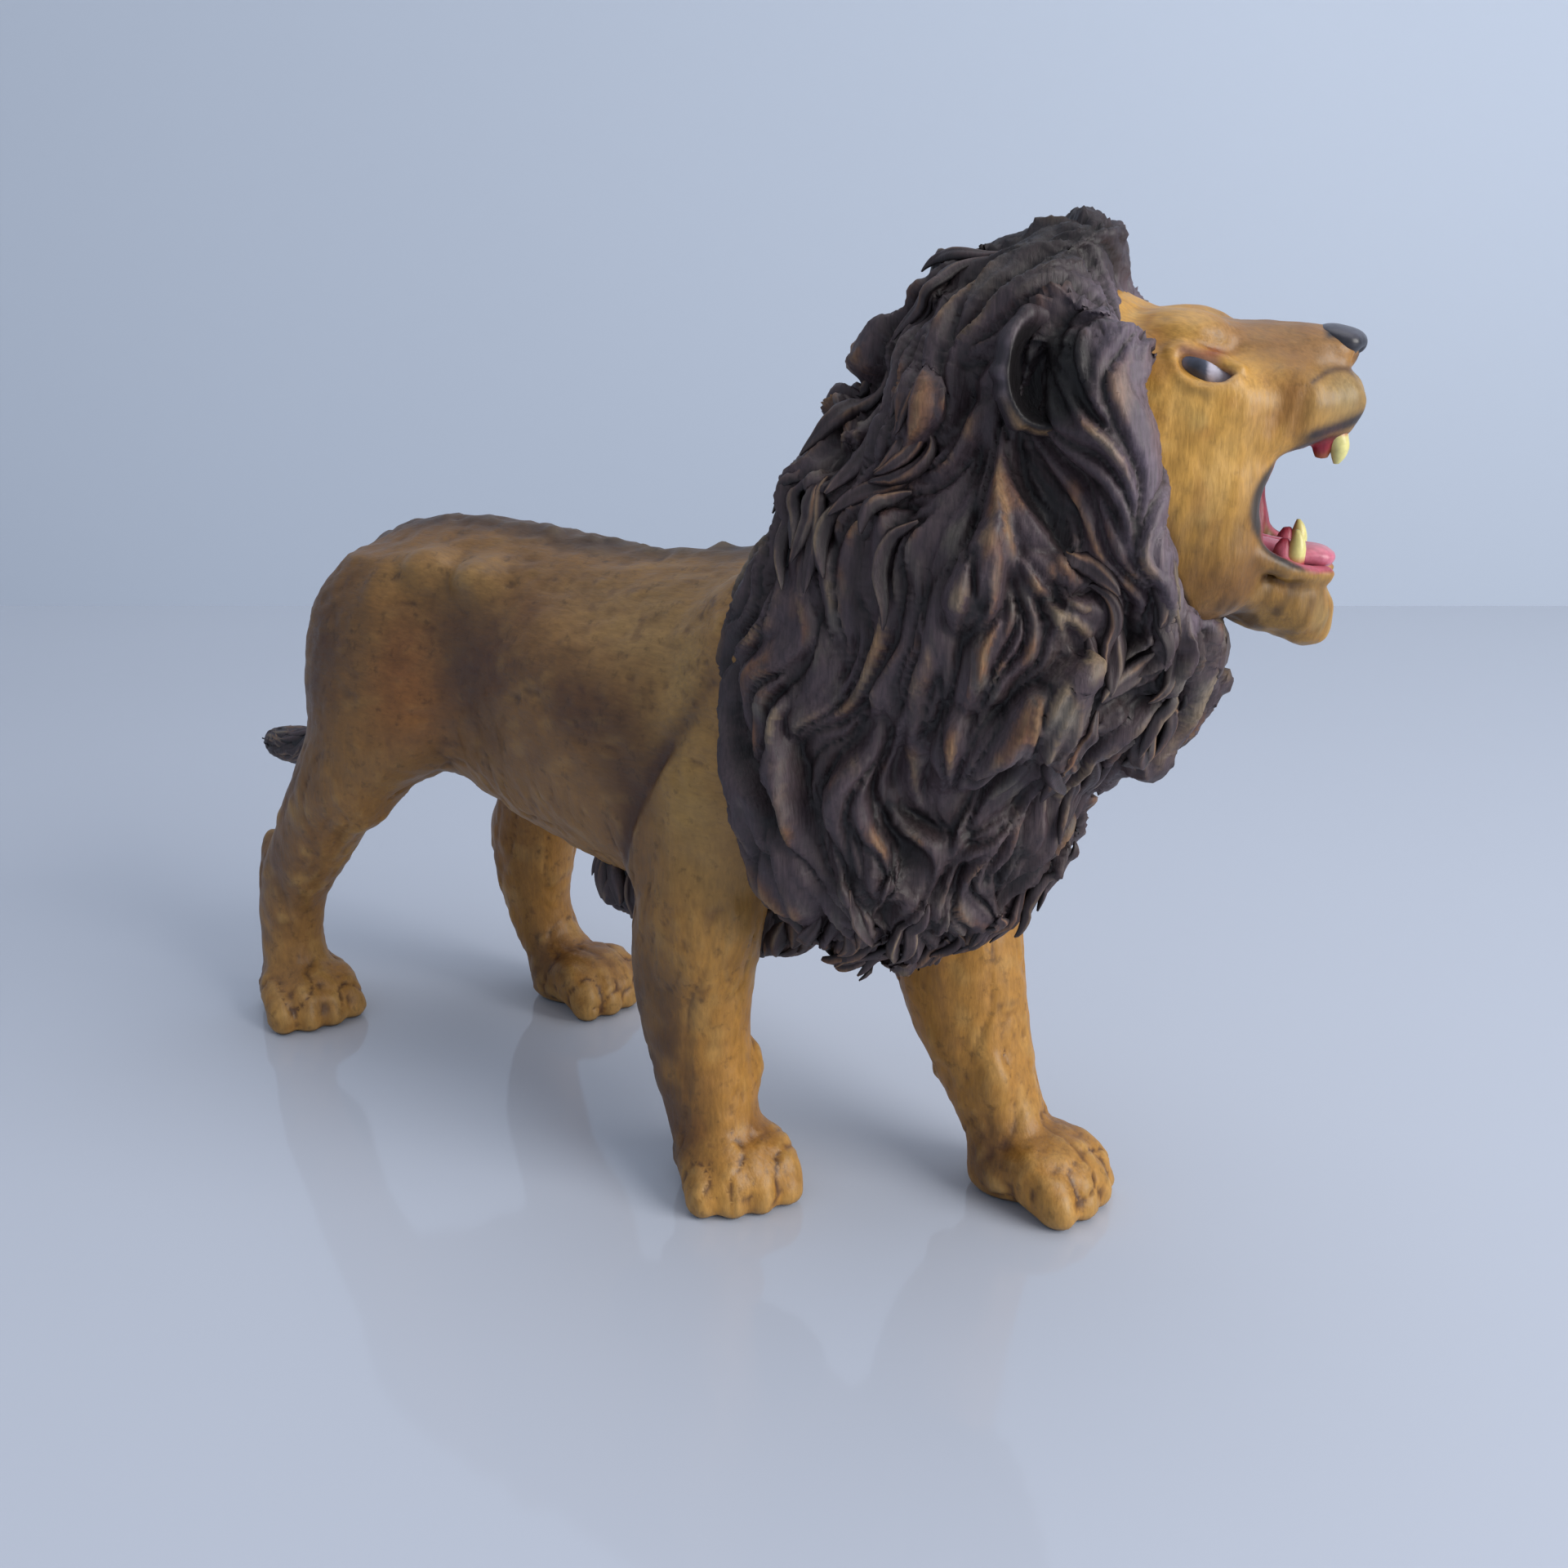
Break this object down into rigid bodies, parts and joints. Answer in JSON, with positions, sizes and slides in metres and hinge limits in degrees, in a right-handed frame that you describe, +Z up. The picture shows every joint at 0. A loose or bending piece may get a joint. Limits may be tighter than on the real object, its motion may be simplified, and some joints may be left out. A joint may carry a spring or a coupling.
{
  "type": "toy lion figure",
  "caption": "Rigid toy figure of a standing, roaring male lion with a full mane, open mouth and flat soles that hold it upright on a table.",
  "frame": {"origin": "on the surface that the figure stands on, under the middle of its bounding box", "axes": "+X along the body towards the chest, +Y to the animal's left, +Z up"},
  "size_m": [0.1419, 0.0371, 0.0911],
  "materials": {
    "tan_coat": "hand-painted tan with a brown wash, satin",
    "ochre_coat": "hand-painted yellow ochre with a brown wash, satin",
    "dark_hair": "hand-painted dark brown, highlights brushed on the locks",
    "ochre_face": "hand-painted orange ochre with brown streaks, satin",
    "pink_mouth": "painted pink, slightly glossy",
    "black_detail": "painted near black, slightly glossy",
    "cream_teeth": "painted cream yellow"
  },
  "bodies": {
    "root": {"torso": "tan_coat", "foreleg_right": "ochre_coat", "foreleg_left": "ochre_coat", "hindleg_right": "tan_coat", "hindleg_left": "tan_coat", "tail": "tan_coat", "tail_tuft": "dark_hair", "mane": "dark_hair", "belly_mane": "dark_hair", "ear_right": "dark_hair", "ear_left": "dark_hair", "head": "ochre_face", "lower_jaw": "ochre_face", "palate": "pink_mouth", "tongue": "pink_mouth", "nose_pad": "black_detail", "eye_right": "black_detail", "eye_left": "black_detail", "upper_fang_right": "cream_teeth", "upper_fang_left": "cream_teeth", "lower_fang_right": "cream_teeth", "lower_fang_left": "cream_teeth"}
  },
  "joints": []
}
